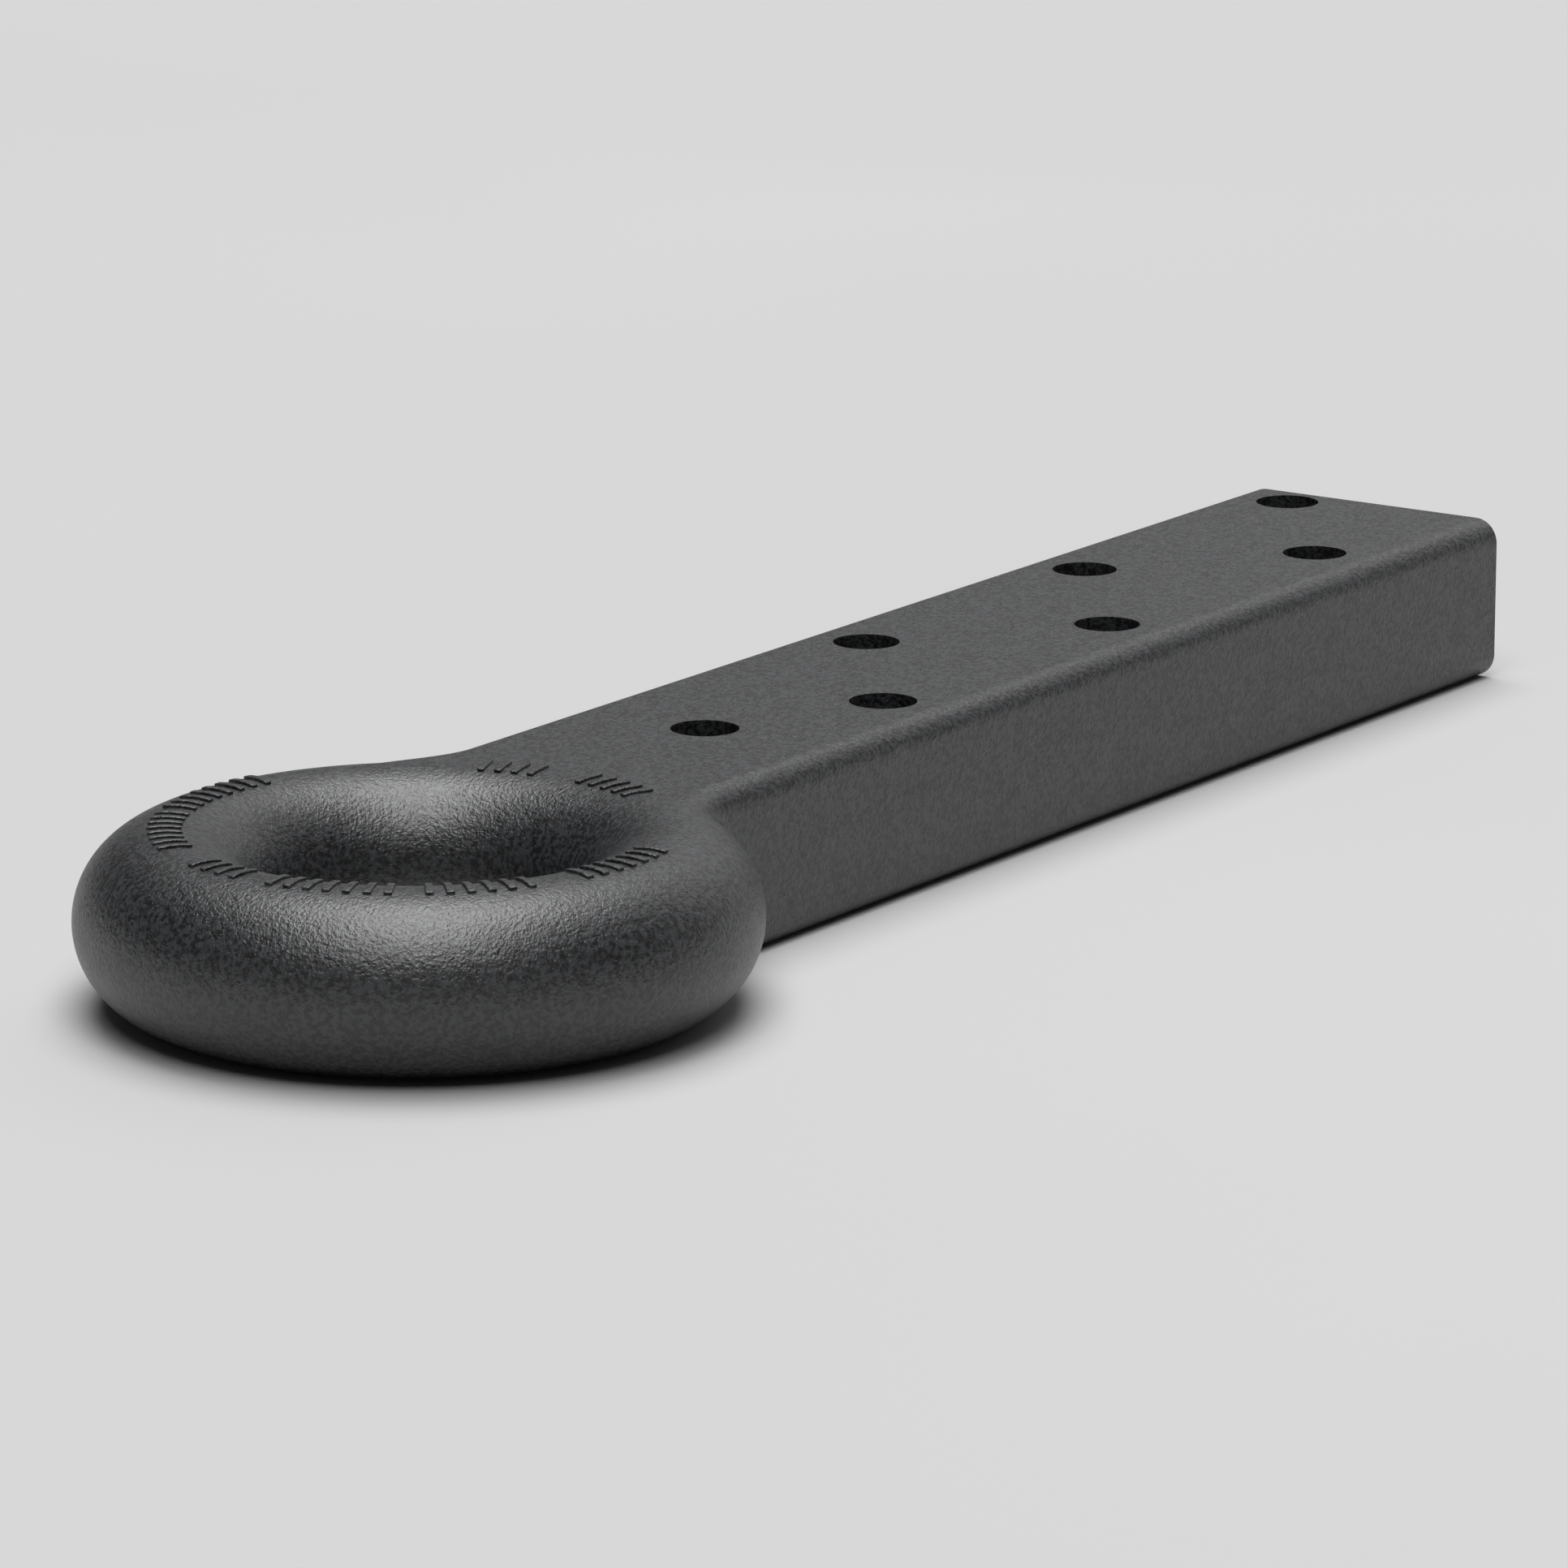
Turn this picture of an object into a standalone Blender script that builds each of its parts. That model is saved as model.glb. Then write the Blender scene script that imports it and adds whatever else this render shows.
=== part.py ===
"""Lunette ring: a forged steel tow eye with a flat shank that bolts into a drawbar.

One solid piece. The ring is a round bar bent into a full circle, and the shank is a flat bar
of the same thickness, so its two broad faces run level into the crown of the ring. The sharp
corner where the ring meets the shank's narrow sides is filled by a rolled fillet, and that
fillet and the shank's long edges share one rounded border, which dies out on the crown.
Seven bolt holes go through the shank: one on the centre line behind the ring, then two rows
that take turns, so that each hole of one row lies midway between two of the other.
"""
import math

import bmesh
import bpy
from mathutils import Vector

# Sizes in metres.
THROAT_DIAMETER = 0.073025      # the opening that takes the pintle hook
SECTION_DIAMETER = 0.0428625    # round section of the ring, and thickness of the shank
SHANK_WIDTH = 0.0777875
EDGE_RADIUS = 0.00635           # rounding of the shank's long edges
CREASE_RADIUS = 0.00635         # fillet between the ring and the shank's narrow sides
BOLT_HOLE_DIAMETER = 0.016669   # clears a 5/8 in bolt
FIRST_HOLE_SETBACK = 0.034925   # outside of the ring to the centre of the single hole
ROWS_SETBACK = 0.047625         # single hole to the first hole of the near row
HOLE_STAGGER = 0.0508           # from a hole to the next one, in the other row
ROW_SPACING = 0.0388938         # across the shank, from row to row
END_MARGIN = 0.0111125          # centre of the last hole to the free end
HOLES_PER_ROW = 3
ROW_SIDES = (-1.0, 1.0)         # the rows take turns, starting on the -Y side
CUTTER_OVERSHOOT = 0.005        # each cutter sticks out this far past both faces

# Fineness of the faceted surface.
RING_STEPS = 36                 # along the outside of the ring, from one fillet to the far point
CROWN_STEPS = 9                 # along the crown, within the width of the shank
THROAT_STEPS = 9                # round the section, from the crown to the throat
LOW_STEPS = 4                   # round the section, from the waist to the start of the border
HIGH_STEPS = 8                  # from there to the crown
CREASE_STEPS = 6                # across the fillet
EDGE_STEPS = 6                  # across the rounded border
HOLE_STEPS = 40
WELD_DISTANCE = 1e-6
SHARP_ANGLE = math.radians(40.0)

SECTION_RADIUS = SECTION_DIAMETER / 2
RING_RADIUS = THROAT_DIAMETER / 2 + SECTION_RADIUS
RING_OUTSIDE = RING_RADIUS + SECTION_RADIUS
FIRST_HOLE_X = RING_OUTSIDE + FIRST_HOLE_SETBACK
ROWS_START_X = FIRST_HOLE_X + ROWS_SETBACK
LAST_HOLE_X = ROWS_START_X + (len(ROW_SIDES) * HOLES_PER_ROW - 1) * HOLE_STAGGER
END_X = LAST_HOLE_X + END_MARGIN
HALF_WIDTH = SHANK_WIDTH / 2
EDGE_CENTRE_Z = SECTION_RADIUS - EDGE_RADIUS

UP = Vector((0.0, 0.0, 1.0))
SIDEWAYS = Vector((0.0, 1.0, 0.0))


def clear_scene():
    """Remove what the scene holds."""
    for item in list(bpy.data.objects):
        bpy.data.objects.remove(item, do_unlink=True)


def spread(first, last, steps):
    """Evenly spaced values from first to last, with both ends."""
    return [first + (last - first) * i / steps for i in range(steps + 1)]


def swing(centre, radius, start, end, steps):
    """Points on the arc round centre that turns from the direction start to end."""
    angle = start.angle(end)
    if angle < WELD_DISTANCE:
        return [centre + radius * start for _ in range(steps + 1)]
    side = (end - start * math.cos(angle)) / math.sin(angle)
    return [centre + radius * (start * math.cos(a) + side * math.sin(a)) for a in spread(0.0, angle, steps)]


def ring_point(lift, turn):
    """Point of the ring: lift goes round its section from the outside, turn round its axis."""
    reach = RING_RADIUS + SECTION_RADIUS * math.cos(lift)
    return Vector((reach * math.cos(turn), reach * math.sin(turn), SECTION_RADIUS * math.sin(lift)))


def crease_centre(lift):
    """Centre of the ball that rolls in the crease, touching the ring at this lift and the side."""
    reach = RING_RADIUS + (SECTION_RADIUS + CREASE_RADIUS) * math.cos(lift)
    y = HALF_WIDTH + CREASE_RADIUS
    x = math.sqrt(reach * reach - y * y)
    return Vector((x, y, (SECTION_RADIUS + CREASE_RADIUS) * math.sin(lift)))


def crease_turn(lift):
    """Angle round the ring's axis at which that ball touches the ring."""
    centre = crease_centre(lift)
    return math.atan2(centre.y, centre.x)


def border_direction(lift):
    """Direction from the crease ball to the ball that rounds the border inside the steel.

    The inner ball touches the broad face, so its centre keeps one height. Where the crease
    ball is lower than that, the fillet runs out on the flat side instead.
    """
    centre = crease_centre(lift)
    if centre.z <= EDGE_CENTRE_Z + WELD_DISTANCE:
        return -SIDEWAYS
    reach = math.hypot(centre.x, centre.y)
    inward = Vector((-math.cos(lift), 0.0, -reach * math.sin(lift) / centre.x)).normalized()
    cosine = (EDGE_CENTRE_Z - centre.z) / ((CREASE_RADIUS + EDGE_RADIUS) * inward.z)
    cosine = min(1.0, cosine)
    return cosine * inward - math.sqrt(1.0 - cosine * cosine) * SIDEWAYS


def border_centre(lift):
    """Centre of the ball that rounds the border, at the station of this lift."""
    return crease_centre(lift) + (CREASE_RADIUS + EDGE_RADIUS) * border_direction(lift)


def crease_arc(lift):
    """Hollow arc from the ring to the border or the flat side."""
    centre = crease_centre(lift)
    turn = crease_turn(lift)
    to_ring = (ring_point(lift, turn) - centre).normalized()
    return swing(centre, CREASE_RADIUS, to_ring, border_direction(lift), CREASE_STEPS)


def border_arc(lift):
    """Rounded arc from the end of the hollow arc up to the broad face."""
    return swing(border_centre(lift), EDGE_RADIUS, -border_direction(lift), UP, EDGE_STEPS)


def add_rows(bm, rows):
    """Quads between neighbouring rows of points."""
    made = [[bm.verts.new(point) for point in row] for row in rows]
    for row, following in zip(made, made[1:]):
        for i in range(len(row) - 1):
            bm.faces.new((row[i], row[i + 1], following[i + 1], following[i]))


def add_flat(bm, points):
    """One flat face through the points."""
    bm.faces.new([bm.verts.new(point) for point in points])


def add_ring(bm, low_lifts, high_lifts):
    """Quarter of the ring: the throat side, then the outside up to the fillet."""
    crown = math.pi / 2
    crown_turns = spread(0.0, crease_turn(crown), CROWN_STEPS)
    far_turns = spread(crease_turn(crown), math.pi, RING_STEPS)
    throat_turns = crown_turns + far_turns[1:]
    throat_lifts = spread(crown, math.pi, THROAT_STEPS)
    add_rows(bm, [[ring_point(lift, turn) for turn in throat_turns] for lift in throat_lifts])
    outside = []
    for lift in low_lifts + high_lifts[1:]:
        turns = spread(crease_turn(lift), math.pi, RING_STEPS)
        outside.append([ring_point(lift, turn) for turn in turns])
    add_rows(bm, outside)


def add_blend(bm, low_lifts, high_lifts):
    """The fillet between ring and shank, and the border that closes it towards the crown."""
    add_rows(bm, [crease_arc(lift) for lift in low_lifts + high_lifts[1:]])
    add_rows(bm, [border_arc(lift) for lift in high_lifts])


def add_shank(bm, low_lifts, high_lifts):
    """Quarter of the shank: rounded edge, narrow side, free end and broad face."""
    edge = border_arc(high_lifts[0])
    edge_at_end = [Vector((END_X, point.y, point.z)) for point in edge]
    add_rows(bm, [edge, edge_at_end])
    side = [crease_arc(lift)[-1] for lift in low_lifts]
    waist_at_end = Vector((END_X, HALF_WIDTH, 0.0))
    add_flat(bm, side + [edge_at_end[0], waist_at_end])
    middle = [Vector((END_X, 0.0, SECTION_RADIUS)), Vector((END_X, 0.0, 0.0))]
    add_flat(bm, [waist_at_end] + edge_at_end + middle)
    crown = math.pi / 2
    crown_arc = [ring_point(crown, turn) for turn in spread(0.0, crease_turn(crown), CROWN_STEPS)]
    border = [border_arc(lift)[-1] for lift in reversed(high_lifts[:-1])]
    add_flat(bm, crown_arc + border + [edge_at_end[-1], middle[0]])


def body_mesh():
    """Whole body without its holes: one quarter, mirrored across and then top to bottom."""
    border_start = math.asin(EDGE_CENTRE_Z / (SECTION_RADIUS + CREASE_RADIUS))
    low_lifts = spread(0.0, border_start, LOW_STEPS)
    high_lifts = spread(border_start, math.pi / 2, HIGH_STEPS)
    bm = bmesh.new()
    add_ring(bm, low_lifts, high_lifts)
    add_blend(bm, low_lifts, high_lifts)
    add_shank(bm, low_lifts, high_lifts)
    bmesh.ops.remove_doubles(bm, verts=bm.verts[:], dist=WELD_DISTANCE)
    for axis in ("Y", "Z"):
        quarter = bm.verts[:] + bm.edges[:] + bm.faces[:]
        bmesh.ops.mirror(bm, geom=quarter, merge_dist=WELD_DISTANCE, axis=axis)
    bmesh.ops.recalc_face_normals(bm, faces=bm.faces[:])
    mesh = bpy.data.meshes.new("lunette_ring")
    bm.to_mesh(mesh)
    bm.free()
    mesh.shade_smooth()
    mesh.set_sharp_from_angle(angle=SHARP_ANGLE)
    return mesh


def hole_centres():
    """Plan positions of the bolt holes, measured from the ring's centre."""
    centres = [(FIRST_HOLE_X, 0.0)]
    for i in range(len(ROW_SIDES) * HOLES_PER_ROW):
        side = ROW_SIDES[i % len(ROW_SIDES)]
        centres.append((ROWS_START_X + i * HOLE_STAGGER, side * ROW_SPACING / 2))
    return centres


def cutter_mesh():
    """Upright cylinder that cuts one bolt hole."""
    bm = bmesh.new()
    bmesh.ops.create_cone(bm, cap_ends=True, segments=HOLE_STEPS, radius1=BOLT_HOLE_DIAMETER / 2,
                          radius2=BOLT_HOLE_DIAMETER / 2, depth=SECTION_DIAMETER + 2 * CUTTER_OVERSHOOT)
    mesh = bpy.data.meshes.new("bolt_hole_cutter")
    bm.to_mesh(mesh)
    bm.free()
    mesh.shade_smooth()
    mesh.set_sharp_from_angle(angle=SHARP_ANGLE)
    return mesh


def cut_holes(body):
    """Cut the bolt holes with one cylinder each."""
    mesh = cutter_mesh()
    for number, (x, y) in enumerate(hole_centres(), start=1):
        cutter = bpy.data.objects.new(f"bolt_hole_cutter_{number}", mesh)
        cutter.location = (x, y, 0.0)
        cutter.parent = body
        cutter.hide_render = True
        cutter.display_type = "WIRE"
        bpy.context.scene.collection.objects.link(cutter)
        cut = body.modifiers.new(f"bolt_hole_{number}", "BOOLEAN")
        cut.operation = "DIFFERENCE"
        cut.solver = "EXACT"
        cut.object = cutter


def powder_coat():
    """Black powder coat with a low sheen."""
    material = bpy.data.materials.new("black_powder_coat")
    material.use_nodes = True
    shader = material.node_tree.nodes["Principled BSDF"]
    shader.inputs["Base Color"].default_value = (0.022, 0.023, 0.025, 1.0)
    shader.inputs["Metallic"].default_value = 0.0
    shader.inputs["Roughness"].default_value = 0.45
    return material


def build():
    """The part lies flat, its length along X, with the middle of its outline over the origin."""
    clear_scene()
    mesh = body_mesh()
    mesh.materials.append(powder_coat())
    body = bpy.data.objects.new("lunette_ring", mesh)
    body.location = ((RING_OUTSIDE - END_X) / 2, 0.0, SECTION_RADIUS)
    bpy.context.scene.collection.objects.link(body)
    cut_holes(body)


build()
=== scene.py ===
"""The looks of the lunette ring: a forged ring with a flat shank, in black textured powder coat.

The body is worked out from its sizes by a geometry tree, more finely than the solid that it
stands for. A second tree sets raised marks along the crown of the ring.
"""
import math
from types import SimpleNamespace

import bpy
from mathutils import Matrix, Vector


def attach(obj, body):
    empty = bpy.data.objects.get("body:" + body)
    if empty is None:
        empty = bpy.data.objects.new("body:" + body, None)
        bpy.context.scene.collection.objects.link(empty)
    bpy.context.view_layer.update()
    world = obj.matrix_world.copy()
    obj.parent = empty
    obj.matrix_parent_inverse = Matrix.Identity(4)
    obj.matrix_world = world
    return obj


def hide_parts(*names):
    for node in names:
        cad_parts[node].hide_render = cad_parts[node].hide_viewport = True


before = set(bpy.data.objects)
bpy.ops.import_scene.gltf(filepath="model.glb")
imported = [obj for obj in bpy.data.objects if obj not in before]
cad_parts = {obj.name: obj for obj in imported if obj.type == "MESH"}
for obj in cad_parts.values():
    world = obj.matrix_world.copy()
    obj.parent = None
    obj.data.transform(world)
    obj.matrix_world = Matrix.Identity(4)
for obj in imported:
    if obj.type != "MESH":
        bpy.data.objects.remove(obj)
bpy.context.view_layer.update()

# Sizes of the piece, in metres.
THROAT_DIAMETER = 0.073025      # the opening that takes the pintle hook
SECTION_DIAMETER = 0.0428625    # round section of the ring, and thickness of the shank
SHANK_WIDTH = 0.0777875
EDGE_RADIUS = 0.00635           # rounding of the shank's long edges
CREASE_RADIUS = 0.00635         # fillet between the ring and the shank's narrow sides
BOLT_HOLE_DIAMETER = 0.016669
FIRST_HOLE_SETBACK = 0.034925   # outside of the ring to the centre of the single hole
ROWS_SETBACK = 0.047625         # single hole to the first hole in the rows
HOLE_STAGGER = 0.0508           # from a hole to the next one, in the other row
ROW_SPACING = 0.0388938         # across the shank, from row to row
END_MARGIN = 0.0111125          # centre of the last hole to the free end
HOLES_PER_ROW = 3
CUTTER_STRETCH = 1.25           # length of a hole's cutter, in thicknesses of the shank

# Raised marks across the crown of the ring, in metres. A run is the turn of its first mark,
# in degrees round the ring from the shank, and its number of marks.
MARK_LENGTH = 0.0080
MARK_WIDTH = 0.0018
MARK_HEIGHT = 0.0007
MARK_ROOT = 0.0005              # how deep each mark sits in the steel
MARK_ROUNDING = 0.0002
MARK_PITCH = 4.4                # degrees
MARK_RUNS = ((8.0, 4), (77.0, 8), (114.0, 8), (161.0, 4),
             (184.0, 7), (219.0, 6), (255.0, 7), (336.0, 5))

# Fineness of the surfaces, in steps. Down to ALONG_STEPS they are those of a quarter of the body.
RING_STEPS = 96                 # round the ring, from the fillet to the front
THROAT_STEPS = 28               # round the section, from the crown to the throat
LOW_STEPS = 14                  # round the section, from the waist to the start of the border
HIGH_STEPS = 26                 # from there to the crown
CREASE_STEPS = 10               # across the fillet
EDGE_STEPS = 12                 # across the rounded border, and round the shank's long edge
ACROSS_STEPS = 12               # across half of the shank
ALONG_STEPS = 20                # along the shank
HOLE_STEPS = 96                 # round a bolt hole
MARK_STEPS = 8                  # along a mark
ROUNDING_STEPS = 2              # round a mark's edge
WELD_DISTANCE = 2e-6
SHARP_ANGLE = math.radians(40.0)

QUARTER_TURN = math.pi / 2
SECTION_RADIUS = SECTION_DIAMETER / 2
RING_RADIUS = THROAT_DIAMETER / 2 + SECTION_RADIUS
RING_OUTSIDE = RING_RADIUS + SECTION_RADIUS
HOLE_COUNT = 2 * HOLES_PER_ROW + 1
END_X = (RING_OUTSIDE + FIRST_HOLE_SETBACK + ROWS_SETBACK
         + (HOLE_COUNT - 2) * HOLE_STAGGER + END_MARGIN)
RING_CENTRE = Vector(((RING_OUTSIDE - END_X) / 2, 0.0, SECTION_RADIUS))

# The powder coat. Scales of noises are per metre, depths are in metres.
NOISE_MIDDLE = 0.5              # of any noise, the floor's too
GRAIN_NOISE = {"scale": 1300.0, "distortion": 0.4}
LUMP_NOISE = {"scale": 760.0, "detail": 1.0, "distortion": 0.3}
FLOW_NOISE = {"scale": 130.0}
GRAIN_DEPTH = 0.00022
LUMP_SHARE = 0.6                # depth of the lumps, in depths of the grains
FLOW_DEPTH = 0.00006
# Painted shade: the first colour below is the coat where the lumps sink, darker to stand in for
# shade in its pits; the second is the coat on its tops.
PAINTED_PIT_SHADE = (0.0030, 0.0032, 0.0036, 1.0)
SKIN_COLOUR = (0.0270, 0.0284, 0.0312, 1.0)
PIT_SHADE_SPREAD = 0.1               # of the lumps' noise, on each side of its middle
COAT_ROUGHNESS = 0.41, 0.37     # where the coat flowed thin, and where thick
GRAIN_GLOSS = 0.2               # fall of the roughness over the height of the grains
COAT_IOR = 1.69

# The floor.
FLOOR_REACH = 60.0              # metres, each way
FLOOR_NOISE = {"scale": 1.5}
FLOOR_TONES = (0.44, 0.44, 0.44, 1.0), (0.46, 0.46, 0.46, 1.0)
FLOOR_ROUGHNESS = 0.9
FLOOR_SPECULAR = 0.1

# Far soft lamps: strength, width, and direction by turn leftwards from the camera's heading
# and by rise. All angles are in degrees.
SOFTBOXES = {
    "overhead_softbox": (2.6, 44.0, 0.0, 78.0),
    "front_softbox": (2.0, 40.0, 180.0, 64.0),
}

# The studio round the piece: dim, with a soft glow and a pale band at the horizon.
STUDIO_STRENGTH = 0.04
GLOW_STRENGTH = 0.9
GLOW_TURN, GLOW_RISE = -32.0, 34.0      # degrees, like those of the lamps
GLOW_FOCUS = 7.0                        # the greater, the smaller the glow
BAND_STRENGTH = 0.63
BAND_WHOLE, BAND_END = 0.02, 0.06       # sines of the rise where it starts to fade, and ends

# The camera, in the frame of the piece. Angles are in radians, the lens in millimetres.
CAMERA_PLACE = Vector((-1.68383, -1.13236, 0.52011))
CAMERA_HEADING = 0.59924        # from +X towards +Y
CAMERA_DIP = 0.24307            # below the horizon
CAMERA_ROLL = 0.00073
CAMERA_LENS = 195.67
SENSOR_WIDTH = 36.0


# ---------------------------------------------------------------- node trees

def feed(tree, socket, value):
    """Join a socket to another node's output, or give it a plain value."""
    if isinstance(value, Number):
        value = value.socket
    if isinstance(value, bpy.types.NodeSocket):
        tree.links.new(value, socket)
    else:
        socket.default_value = value


def add_node(tree, kind, inputs=None, **settings):
    """One node, with its settings, and its inputs by name or place."""
    node = tree.nodes.new(kind)
    for name, value in settings.items():
        setattr(node, name, value)
    for key, value in (inputs or {}).items():
        feed(tree, node.inputs[key], value)
    return node


class Number:
    """A number that a node tree works out, with ordinary arithmetic."""

    def __init__(self, tree, socket):
        self.tree = tree
        self.socket = socket

    def math(self, operation, *others):
        values = dict(enumerate((self, *others)))
        node = add_node(self.tree, "ShaderNodeMath", values, operation=operation)
        return Number(self.tree, node.outputs[0])

    def __add__(self, other):
        return self.math("ADD", other)

    def __sub__(self, other):
        return self.math("SUBTRACT", other)

    def __rsub__(self, other):
        return self.math("MULTIPLY_ADD", -1.0, other)

    def __mul__(self, other):
        return self.math("MULTIPLY", other)

    def __truediv__(self, other):
        return self.math("DIVIDE", other)

    def __neg__(self):
        return self * -1.0

    __radd__ = __add__
    __rmul__ = __mul__

    def clamped(self):
        return self.math("MAXIMUM", 0.0).math("MINIMUM", 1.0)


def cos(value):
    return value.math("COSINE")


def sin(value):
    return value.math("SINE")


def root(value):
    return value.math("SQRT")


def ease(share):
    """Share from 0 to 1 whose steps crowd towards both ends."""
    return 0.5 - cos(share * math.pi) * 0.5


def steady(tree, value):
    """A plain value as a number of the tree."""
    node = add_node(tree, "ShaderNodeValue")
    node.outputs[0].default_value = value
    return Number(tree, node.outputs[0])


def vector(tree, x=0.0, y=0.0, z=0.0):
    """Vector from three numbers."""
    return add_node(tree, "ShaderNodeCombineXYZ", {0: x, 1: y, 2: z}).outputs[0]


def numbers(tree, value):
    """The three numbers of a vector."""
    node = add_node(tree, "ShaderNodeSeparateXYZ", {0: value})
    return [Number(tree, socket) for socket in node.outputs]


def position(tree):
    """Position of each point, as three numbers."""
    return numbers(tree, add_node(tree, "GeometryNodeInputPosition").outputs[0])


def count_of(tree):
    """Each point's place in the count, from 0."""
    return Number(tree, add_node(tree, "GeometryNodeInputIndex").outputs[0])


def new_geometry_tree(name, sizes):
    """Geometry tree with one named input for each size. Returns it and the sizes as numbers."""
    tree = bpy.data.node_groups.new(name, "GeometryNodeTree")
    for label in sizes:
        tree.interface.new_socket(label, in_out="INPUT", socket_type="NodeSocketFloat")
    tree.interface.new_socket("Geometry", in_out="OUTPUT", socket_type="NodeSocketGeometry")
    entry = add_node(tree, "NodeGroupInput")
    return tree, {label: Number(tree, entry.outputs[label]) for label in sizes}


def realize(tree, geometry):
    """The geometry, with its instances made real."""
    return add_node(tree, "GeometryNodeRealizeInstances", {"Geometry": geometry}).outputs[0]


def close_tree(tree, geometry, material):
    """End the tree: instances become real, and the material is set."""
    painted = add_node(tree, "GeometryNodeSetMaterial",
                       {"Geometry": realize(tree, geometry), "Material": material})
    add_node(tree, "NodeGroupOutput", {"Geometry": painted.outputs[0]})


def new_object(name, data):
    """Object with this data, in the scene."""
    item = bpy.data.objects.new(name, data)
    bpy.context.scene.collection.objects.link(item)
    return item


def grow(name, tree, sizes):
    """Object with the plain mesh that the tree makes from these sizes."""
    piece = new_object(name, bpy.data.meshes.new(name))
    modifier = piece.modifiers.new("shape", "NODES")
    modifier.node_group = tree
    for item in tree.interface.items_tree:
        if item.in_out == "INPUT":
            modifier[item.identifier] = sizes[item.name]
    depsgraph = bpy.context.evaluated_depsgraph_get()
    mesh = bpy.data.meshes.new_from_object(piece.evaluated_get(depsgraph), depsgraph=depsgraph)
    piece.modifiers.clear()
    piece.data = mesh
    mesh.name = name
    return piece


def join(tree, parts):
    """The parts in one mesh, with the points that meet welded together."""
    joined = add_node(tree, "GeometryNodeJoinGeometry")
    for part in parts:
        tree.links.new(part, joined.inputs[0])
    welded = add_node(tree, "GeometryNodeMergeByDistance",
                      {"Geometry": joined.outputs[0], "Distance": WELD_DISTANCE})
    return welded.outputs[0]


def mirror(tree, geometry, scale):
    """The geometry together with its mirror image."""
    image = add_node(tree, "GeometryNodeTransform", {"Geometry": geometry, "Scale": scale})
    faces_out = add_node(tree, "GeometryNodeFlipFaces", {"Mesh": image.outputs[0]})
    return join(tree, [geometry, faces_out.outputs[0]])


def shift(tree, geometry, way):
    """The geometry moved by a vector."""
    moved = add_node(tree, "GeometryNodeTransform", {"Geometry": geometry, "Translation": way})
    return moved.outputs[0]


def copies(tree, points, piece):
    """The piece at each point."""
    placed = add_node(tree, "GeometryNodeInstanceOnPoints", {"Points": points, "Instance": piece})
    return realize(tree, placed.outputs[0])


def patch(tree, rows, columns, place):
    """Sheet of quads. place gives the point at a row and a column, as three numbers."""
    grid = add_node(tree, "GeometryNodeMeshGrid", {
        "Size X": float(rows), "Size Y": float(columns),
        "Vertices X": rows + 1, "Vertices Y": columns + 1})
    x, y, _ = position(tree)
    spot = vector(tree, *place(x + rows / 2, y + columns / 2))
    placed = add_node(tree, "GeometryNodeSetPosition",
                      {"Geometry": grid.outputs["Mesh"], "Position": spot})
    return placed.outputs[0]


# ---------------------------------------------------------------- the body

BODY_SIZES = {
    "Throat diameter": THROAT_DIAMETER,
    "Section diameter": SECTION_DIAMETER,
    "Shank width": SHANK_WIDTH,
    "Edge radius": EDGE_RADIUS,
    "Crease radius": CREASE_RADIUS,
    "Free end": END_X,
    "Bolt hole diameter": BOLT_HOLE_DIAMETER,
    "First hole": RING_OUTSIDE + FIRST_HOLE_SETBACK,
    "Rows setback": ROWS_SETBACK,
    "Hole stagger": HOLE_STAGGER,
    "Row spacing": ROW_SPACING,
}


def body_form(sizes):
    """The sizes that the surface formulas use."""
    form = SimpleNamespace()
    form.section = sizes["Section diameter"] / 2
    form.ring = sizes["Throat diameter"] / 2 + form.section
    form.half_width = sizes["Shank width"] / 2
    form.edge = sizes["Edge radius"]
    form.crease = sizes["Crease radius"]
    form.end = sizes["Free end"]
    form.edge_centre = form.section - form.edge
    form.border_start = (form.edge_centre / (form.section + form.crease)).math("ARCSINE")
    return form


def ring_point(form, lift, turn):
    """Point of the ring: lift goes round its section from the outside, turn round its axis."""
    reach = form.ring + form.section * cos(lift)
    return reach * cos(turn), reach * sin(turn), form.section * sin(lift)


def crease_ball(form, lift):
    """Centre of the ball that rolls in the crease, and its distance from the ring's axis."""
    reach = form.ring + (form.section + form.crease) * cos(lift)
    y = form.half_width + form.crease
    return (root(reach * reach - y * y), y, (form.section + form.crease) * sin(lift)), reach


def crease_turn(form, lift):
    """Angle round the ring's axis at which that ball touches the ring."""
    (x, y, _), _ = crease_ball(form, lift)
    return y.math("ARCTAN2", x)


def border_direction(form, lift):
    """Direction from the crease ball to the ball inside the steel that rounds the border.

    The inner ball touches the broad face. Lower down, the fillet runs out on the flat side.
    """
    (x, _, z), reach = crease_ball(form, lift)
    fall = reach * sin(lift) / x
    length = root(cos(lift) * cos(lift) + fall * fall)
    inward = -cos(lift) / length, -fall / length
    dip = ((form.edge_centre - z) / ((form.crease + form.edge) * inward[1])).clamped()
    return dip * inward[0], -root(1.0 - dip * dip), dip * inward[1]


def border_ball(form, lift):
    """Centre of the ball that rounds the border, and the direction to it from the crease ball."""
    centre, _ = crease_ball(form, lift)
    direction = border_direction(form, lift)
    span = form.crease + form.edge
    return tuple(c + d * span for c, d in zip(centre, direction)), direction


def swing(centre, radius, start, end, share):
    """Point on the arc round centre, at a share of the turn from the direction start to end."""
    angle = sum(s * e for s, e in zip(start, end)).math("MINIMUM", 1.0).math("ARCCOSINE")
    first, second = cos(angle * share), sin(angle * share)
    return tuple(c + radius * (s * first + (e - s * cos(angle)) / sin(angle) * second)
                 for c, s, e in zip(centre, start, end))


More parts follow.
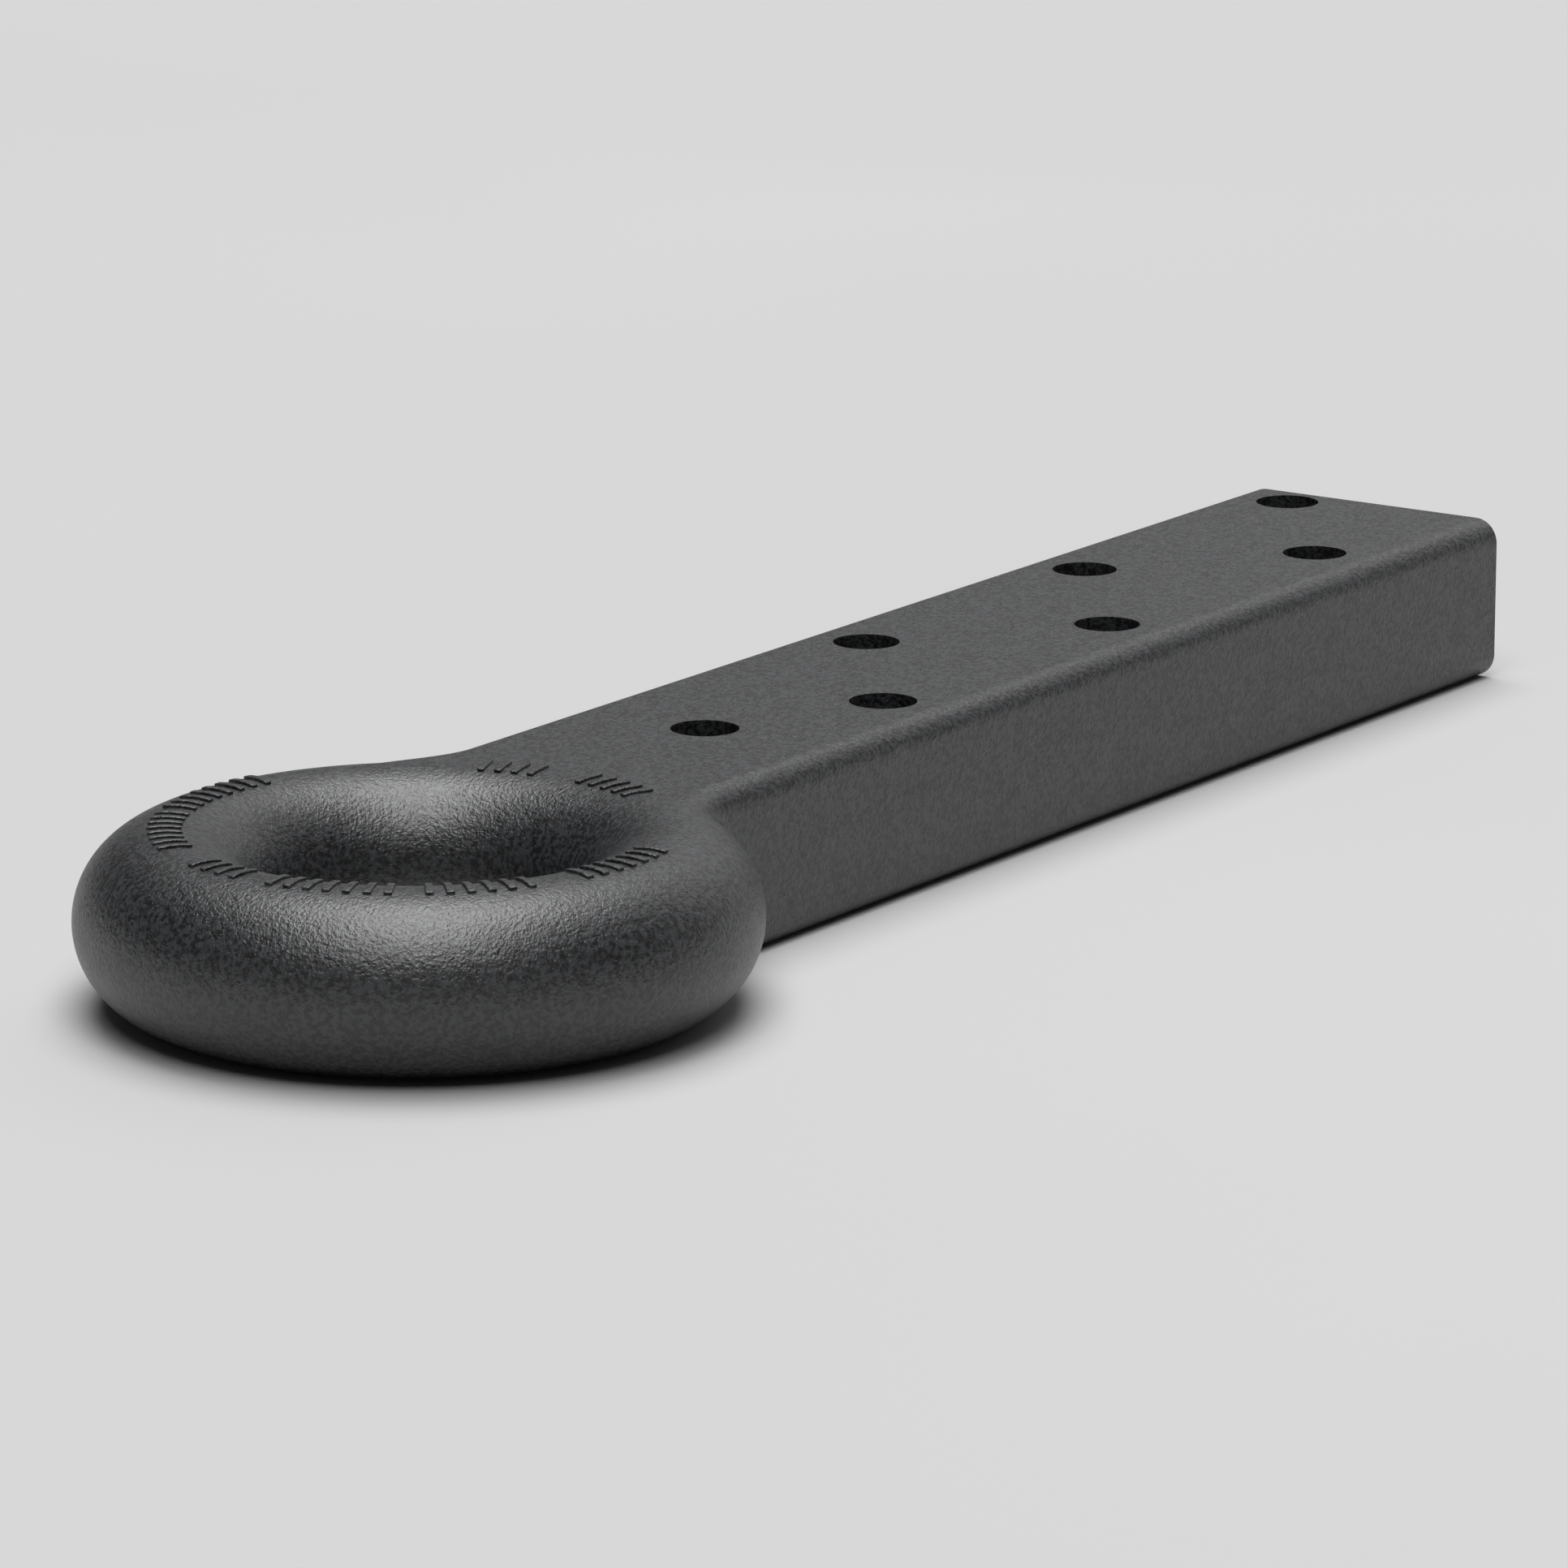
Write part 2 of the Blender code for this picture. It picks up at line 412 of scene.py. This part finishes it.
def crease_point(form, lift, share):
    """Point of the hollow fillet, from the ring to the border or the flat side."""
    centre, _ = crease_ball(form, lift)
    touch = ring_point(form, lift, crease_turn(form, lift))
    to_ring = tuple((t - c) / form.crease for t, c in zip(touch, centre))
    return swing(centre, form.crease, to_ring, border_direction(form, lift), share)


def border_point(form, lift, share):
    """Point of the rounded border, from the fillet up to the broad face."""
    centre, direction = border_ball(form, lift)
    return swing(centre, form.edge, tuple(-d for d in direction), (0.0, 0.0, 1.0), share)


def lift_at(form, step):
    """Angle round the section. The low steps end where the border starts, the high on the crown."""
    return (form.border_start * (step / LOW_STEPS).clamped()
            + (QUARTER_TURN - form.border_start) * ((step - LOW_STEPS) / HIGH_STEPS).clamped())


def high_lift(form, step):
    """Angle round the section at a step from the start of the border to the crown."""
    return form.border_start + (QUARTER_TURN - form.border_start) * (step / HIGH_STEPS)


def crown_turn(tree, form):
    """Angle round the ring's axis at which the fillet reaches the crown."""
    return crease_turn(form, steady(tree, QUARTER_TURN))


def ring_patches(tree, form):
    """Quarter of the ring: its throat side, then its outside up to the fillet."""
    crown = crown_turn(tree, form)

    def throat(row, column):
        turn = (crown * (row / HIGH_STEPS).clamped()
                + (math.pi - crown) * ((row - HIGH_STEPS) / RING_STEPS).clamped())
        return ring_point(form, column * (QUARTER_TURN / THROAT_STEPS) + QUARTER_TURN, turn)

    def outside(row, column):
        lift = lift_at(form, column)
        start = crease_turn(form, lift)
        return ring_point(form, lift, start + (math.pi - start) * (row / RING_STEPS))

    return [patch(tree, HIGH_STEPS + RING_STEPS, THROAT_STEPS, throat),
            patch(tree, RING_STEPS, LOW_STEPS + HIGH_STEPS, outside)]


def blend_patches(tree, form):
    """The fillet between ring and shank, and the border that closes it towards the crown."""
    def crease(row, column):
        return crease_point(form, lift_at(form, row), column / CREASE_STEPS)

    def border(row, column):
        return border_point(form, high_lift(form, row), column / EDGE_STEPS)

    return [patch(tree, LOW_STEPS + HIGH_STEPS, CREASE_STEPS, crease),
            patch(tree, HIGH_STEPS, EDGE_STEPS, border)]


def shank_patches(tree, form):
    """Quarter of the shank: rounded edge, narrow side and free end."""
    (border_x, _, _), _ = crease_ball(form, form.border_start)
    edge_y = form.half_width - form.edge

    def edge(row, column):
        angle = row * (QUARTER_TURN / EDGE_STEPS)
        x = border_x + (form.end - border_x) * ease(column / ALONG_STEPS)
        return x, edge_y + form.edge * cos(angle), form.edge_centre + form.edge * sin(angle)

    def side(row, column):
        (x, _, z), _ = crease_ball(form, form.border_start * (row / LOW_STEPS))
        return x + (form.end - x) * ease(column / ALONG_STEPS), form.half_width, z

    def end(row, column):
        (_, _, z), _ = crease_ball(form, form.border_start * (column / LOW_STEPS).clamped())
        angle = ((column - LOW_STEPS) / EDGE_STEPS).clamped() * QUARTER_TURN
        outline = edge_y + form.edge * cos(angle)
        return form.end, outline * ease(row / ACROSS_STEPS), z + form.edge * sin(angle)

    return [patch(tree, EDGE_STEPS, ALONG_STEPS, edge),
            patch(tree, LOW_STEPS, ALONG_STEPS, side),
            patch(tree, ACROSS_STEPS, LOW_STEPS + EDGE_STEPS, end)]


def broad_patches(tree, form):
    """Quarter of the broad face: between the crown and the border, then on to the free end."""
    crown = crown_turn(tree, form)
    (border_x, _, _), _ = crease_ball(form, form.border_start)
    edge_y = form.half_width - form.edge

    def neck(row, column):
        turn = crown * (column / HIGH_STEPS)
        inner = form.ring * cos(turn), form.ring * sin(turn)
        outer, _ = border_ball(form, high_lift(form, column))
        share = ease(row / ACROSS_STEPS)
        return *(i + (o - i) * share for i, o in zip(inner, outer)), form.section

    def shank(row, column):
        share = ease(column / ACROSS_STEPS)
        start = form.ring + (border_x - form.ring) * share
        x = start + (form.end - start) * ease(row / ALONG_STEPS)
        return x, edge_y * share, form.section

    return [patch(tree, ACROSS_STEPS, HIGH_STEPS, neck),
            patch(tree, ALONG_STEPS, ACROSS_STEPS, shank)]


def hole_cutters(tree, sizes):
    """Upright cylinders where the bolt holes go: one, then two rows that take turns."""
    number = count_of(tree)
    in_rows = number.clamped()
    x = (sizes["First hole"] + in_rows * sizes["Rows setback"]
         + (number - in_rows) * sizes["Hole stagger"])
    side = in_rows * (number.math("MODULO", 2.0) * -2.0 + 1.0)
    centre = vector(tree, x, side * sizes["Row spacing"] / 2)
    points = add_node(tree, "GeometryNodePoints", {"Count": HOLE_COUNT, "Position": centre})
    cylinder = add_node(tree, "GeometryNodeMeshCylinder", {
        "Vertices": HOLE_STEPS, "Radius": sizes["Bolt hole diameter"] / 2,
        "Depth": sizes["Section diameter"] * CUTTER_STRETCH})
    return copies(tree, points.outputs[0], cylinder.outputs["Mesh"])


def smooth_shading(tree, geometry):
    """Smooth faces, with the hard edges of the holes and of the free end kept."""
    smooth = add_node(tree, "GeometryNodeSetShadeSmooth",
                      {"Geometry": geometry, "Shade Smooth": True}, domain="FACE")
    bend = add_node(tree, "GeometryNodeInputMeshEdgeAngle").outputs["Unsigned Angle"]
    hard = add_node(tree, "GeometryNodeSetShadeSmooth", {
        "Geometry": smooth.outputs[0], "Shade Smooth": False,
        "Selection": Number(tree, bend).math("GREATER_THAN", SHARP_ANGLE)}, domain="EDGE")
    return hard.outputs[0]


def make_body(material):
    """The lunette ring itself, with its bolt holes."""
    tree, sizes = new_geometry_tree("lunette_body", BODY_SIZES)
    form = body_form(sizes)
    quarter = join(tree, ring_patches(tree, form) + blend_patches(tree, form)
                   + shank_patches(tree, form) + broad_patches(tree, form))
    whole = mirror(tree, mirror(tree, quarter, (1.0, -1.0, 1.0)), (1.0, 1.0, -1.0))
    drilled = add_node(tree, "GeometryNodeMeshBoolean",
                       {"Mesh 1": whole, "Mesh 2": hole_cutters(tree, sizes)},
                       operation="DIFFERENCE", solver="EXACT")
    placed = shift(tree, drilled.outputs[0], tuple(RING_CENTRE))
    close_tree(tree, smooth_shading(tree, placed), material)
    return grow("lunette_body", tree, BODY_SIZES)


# ---------------------------------------------------------------- the raised marks

MARK_SIZES = {
    "Ring radius": RING_RADIUS,
    "Section radius": SECTION_RADIUS,
    "Shank width": SHANK_WIDTH,
    "Crease radius": CREASE_RADIUS,
    "Mark length": MARK_LENGTH,
    "Mark width": MARK_WIDTH,
    "Mark height": MARK_HEIGHT,
    "Mark root": MARK_ROOT,
    "Mark pitch": math.radians(MARK_PITCH),
}


def mark_runs(tree, sizes):
    """One point for each mark, unrolled: Y is the way round the crown."""
    number = count_of(tree)
    runs = add_node(tree, "GeometryNodeJoinGeometry")
    for first, count in MARK_RUNS:
        way = (number * sizes["Mark pitch"] + math.radians(first)) * sizes["Ring radius"]
        points = add_node(tree, "GeometryNodePoints",
                          {"Count": count, "Position": vector(tree, y=way)})
        tree.links.new(points.outputs[0], runs.inputs[0])
    return runs.outputs[0]


def wrap_over_crown(tree, sizes, geometry):
    """Lay the unrolled marks round the crown: bent over the ring, and flat on the shank."""
    out, way, rise = position(tree)
    ring, section = sizes["Ring radius"], sizes["Section radius"]
    turn = way / ring
    shank_reach = (sizes["Shank width"] / 2 + sizes["Crease radius"]) / ring
    within_shank = sin(turn).math("ABSOLUTE").math("LESS_THAN", shank_reach)
    level = within_shank * cos(turn).math("GREATER_THAN", 0.0) * out.math("MAXIMUM", 0.0)
    lift = QUARTER_TURN - (out - level) / section
    reach = ring + level + (section + rise) * cos(lift)
    spot = vector(tree, reach * cos(turn), reach * sin(turn), (section + rise) * sin(lift))
    wrapped = add_node(tree, "GeometryNodeSetPosition", {"Geometry": geometry, "Position": spot})
    return wrapped.outputs[0]


def make_marks(material):
    """Plain raised marks in runs along the crown of the ring."""
    tree, sizes = new_geometry_tree("raised_marks", MARK_SIZES)
    height, depth = sizes["Mark height"], sizes["Mark root"]
    size = vector(tree, sizes["Mark length"], sizes["Mark width"], height + depth)
    bar = add_node(tree, "GeometryNodeMeshCube", {
        "Size": size, "Vertices X": MARK_STEPS + 1, "Vertices Y": 2, "Vertices Z": 2})
    raised = shift(tree, bar.outputs["Mesh"], vector(tree, z=(height - depth) / 2))
    unrolled = copies(tree, mark_runs(tree, sizes), raised)
    placed = shift(tree, wrap_over_crown(tree, sizes, unrolled), tuple(RING_CENTRE))
    close_tree(tree, smooth_shading(tree, placed), material)
    marks = grow("raised_marks", tree, MARK_SIZES)
    rounding = marks.modifiers.new("rounding", "BEVEL")
    rounding.width = MARK_ROUNDING
    rounding.segments = ROUNDING_STEPS
    rounding.limit_method = "ANGLE"
    rounding.angle_limit = SHARP_ANGLE
    return marks


# ---------------------------------------------------------------- finishes

def new_material(name):
    """Material with its tree, its shader and the place on the piece."""
    material = bpy.data.materials.new(name)
    material.use_nodes = True
    tree = material.node_tree
    place = add_node(tree, "ShaderNodeTexCoord").outputs["Object"]
    return material, tree, tree.nodes["Principled BSDF"], place


def noise(tree, place, scale, detail=2.0, distortion=0.0):
    """Noise at the place."""
    node = add_node(tree, "ShaderNodeTexNoise", {
        "Vector": place, "Scale": scale, "Detail": detail, "Distortion": distortion})
    return Number(tree, node.outputs[0])


def between(tree, value, low, high, spread=0.2):
    """A noise brought to the range from low to high, over the spread on each side of its middle."""
    node = add_node(tree, "ShaderNodeMapRange", {
        "Value": value, "From Min": NOISE_MIDDLE - spread, "From Max": NOISE_MIDDLE + spread,
        "To Min": low, "To Max": high})
    return Number(tree, node.outputs[0])


def mixed(tree, share, first, second):
    """Colour from the first to the second."""
    node = add_node(tree, "ShaderNodeMix", {"Factor": share, "A": first, "B": second},
                    data_type="RGBA")
    return node.outputs["Result"]


def powder_coat():
    """Black powder coat: a fine pebbled skin with shade painted into its pits, and a low sheen."""
    material, tree, shader, place = new_material("black_powder_coat")
    grains = noise(tree, place, **GRAIN_NOISE)
    lumps = noise(tree, place, **LUMP_NOISE)
    flow = noise(tree, place, **FLOW_NOISE)
    pebbles = add_node(tree, "ShaderNodeBump", {
        "Strength": 1.0, "Distance": GRAIN_DEPTH,
        "Height": grains + (lumps - NOISE_MIDDLE) * LUMP_SHARE})
    swell = add_node(tree, "ShaderNodeBump", {
        "Strength": 1.0, "Distance": FLOW_DEPTH, "Height": flow, "Normal": pebbles.outputs[0]})
    # Painted shade: the colour darkens where the lumps sink, standing in for shade in the pits.
    tone = between(tree, lumps, 0.0, 1.0, PIT_SHADE_SPREAD)
    roughness = between(tree, flow, *COAT_ROUGHNESS) - (grains - NOISE_MIDDLE) * GRAIN_GLOSS
    feed(tree, shader.inputs["Normal"], swell.outputs[0])
    feed(tree, shader.inputs["Base Color"], mixed(tree, tone, PAINTED_PIT_SHADE, SKIN_COLOUR))
    feed(tree, shader.inputs["Roughness"], roughness)
    shader.inputs["IOR"].default_value = COAT_IOR
    return material


def floor_paint():
    """Plain pale floor."""
    material, tree, shader, place = new_material("pale_floor")
    tone = between(tree, noise(tree, place, **FLOOR_NOISE), 0.0, 1.0)
    feed(tree, shader.inputs["Base Color"], mixed(tree, tone, *FLOOR_TONES))
    shader.inputs["Roughness"].default_value = FLOOR_ROUGHNESS
    shader.inputs["Specular IOR Level"].default_value = FLOOR_SPECULAR
    return material


# ---------------------------------------------------------------- studio

def make_floor():
    """Floor that fills the picture."""
    corners = (-1, -1), (1, -1), (1, 1), (-1, 1)
    mesh = bpy.data.meshes.new("floor")
    mesh.from_pydata([(x * FLOOR_REACH, y * FLOOR_REACH, 0.0) for x, y in corners],
                     [], [(0, 1, 2, 3)])
    mesh.materials.append(floor_paint())
    floor = new_object("floor", mesh)


def direction_at(heading, rise):
    """Direction by its heading, from +X towards +Y, and its rise, in radians."""
    level = math.cos(rise)
    return Vector((math.cos(heading) * level, math.sin(heading) * level, math.sin(rise)))


def from_camera(turn, rise):
    """Direction by its turn leftwards from the camera's heading and its rise, in degrees."""
    return direction_at(CAMERA_HEADING + math.radians(turn), math.radians(rise))


def make_camera():
    """Camera at the photograph's angle."""
    ahead = direction_at(CAMERA_HEADING, -CAMERA_DIP)
    right = Vector((math.sin(CAMERA_HEADING), -math.cos(CAMERA_HEADING), 0.0))
    up = right.cross(ahead)
    tilt = Matrix.Rotation(-CAMERA_ROLL, 3, ahead)
    axes = Matrix((tilt @ right, tilt @ up, -ahead)).transposed()
    data = bpy.data.cameras.new("camera")
    data.sensor_width = SENSOR_WIDTH
    data.lens = CAMERA_LENS
    camera = new_object("camera", data)
    camera.matrix_world = Matrix.Translation(CAMERA_PLACE) @ axes.to_4x4()
    bpy.context.scene.camera = camera


def make_softbox(name, strength, width, way):
    """Far soft lamp, as wide as it looks in degrees."""
    data = bpy.data.lights.new(name, "SUN")
    data.energy = strength
    data.angle = math.radians(width)
    lamp = new_object(name, data)
    lamp.matrix_world = way.to_track_quat("Z", "Y").to_matrix().to_4x4()


def make_world():
    """Dim studio, with a soft glow beyond the piece to the right, and a pale horizon."""
    world = bpy.data.worlds.new("studio")
    world.use_nodes = True
    tree = world.node_tree
    way = add_node(tree, "ShaderNodeTexCoord").outputs["Generated"]
    lean = add_node(tree, "ShaderNodeVectorMath",
                    {0: way, 1: tuple(from_camera(GLOW_TURN, GLOW_RISE))}, operation="DOT_PRODUCT")
    towards = Number(tree, lean.outputs["Value"]).math("MAXIMUM", 0.0)
    glow = towards.math("POWER", GLOW_FOCUS) * GLOW_STRENGTH
    _, _, rise = numbers(tree, way)
    band = ((BAND_END - rise.math("ABSOLUTE")) / (BAND_END - BAND_WHOLE)).clamped() * BAND_STRENGTH
    background = tree.nodes["Background"]
    feed(tree, background.inputs["Strength"], glow + band + STUDIO_STRENGTH)
    background.inputs["Color"].default_value = (1.0, 1.0, 1.0, 1.0)
    bpy.context.scene.world = world


def main():
    bpy.context.scene.view_settings.view_transform = "Standard"
    coat = powder_coat()
    body = make_body(coat)
    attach(body, "root")
    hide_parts("lunette_ring")
    marks = make_marks(coat)
    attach(marks, "root")
    make_floor()
    make_camera()
    for name, (strength, width, turn, rise) in SOFTBOXES.items():
        make_softbox(name, strength, width, from_camera(turn, rise))
    make_world()


main()
